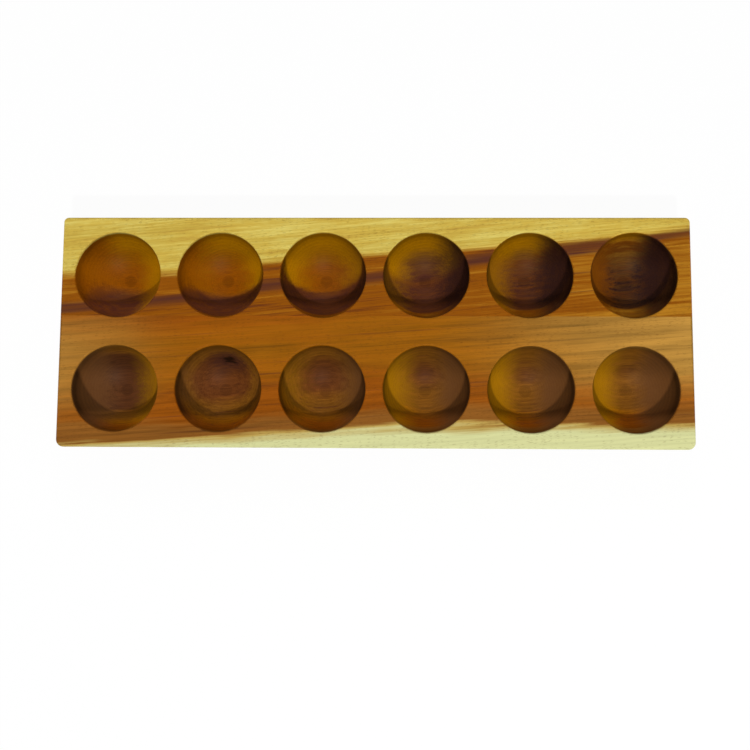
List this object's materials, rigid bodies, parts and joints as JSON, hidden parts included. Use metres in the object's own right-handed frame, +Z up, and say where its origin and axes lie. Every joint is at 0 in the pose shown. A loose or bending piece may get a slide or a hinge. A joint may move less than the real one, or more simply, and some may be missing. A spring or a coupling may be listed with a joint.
{
  "type": "egg holder tray",
  "caption": "Low oblong wooden board with rows of round dished wells, one for each egg, glued up edge to edge from two staves of two-tone wood.",
  "frame": {"origin": "middle of the underside, at the centre of the board's outline", "axes": "+X along the rows of wells, +Y to the rear, where the narrower stave lies, +Z up out of the wells"},
  "size_m": [0.381, 0.1396, 0.0318],
  "materials": {
    "rear_stave": "oiled acacia: orange-brown heartwood with dark purple-brown streaks and pale yellow sapwood at the rear",
    "front_stave": "oiled acacia: golden to red-brown heartwood in long oblique bands, pale sapwood along the front"
  },
  "bodies": {
    "root": {"rear_stave": "rear_stave", "front_stave": "front_stave"}
  },
  "joints": []
}
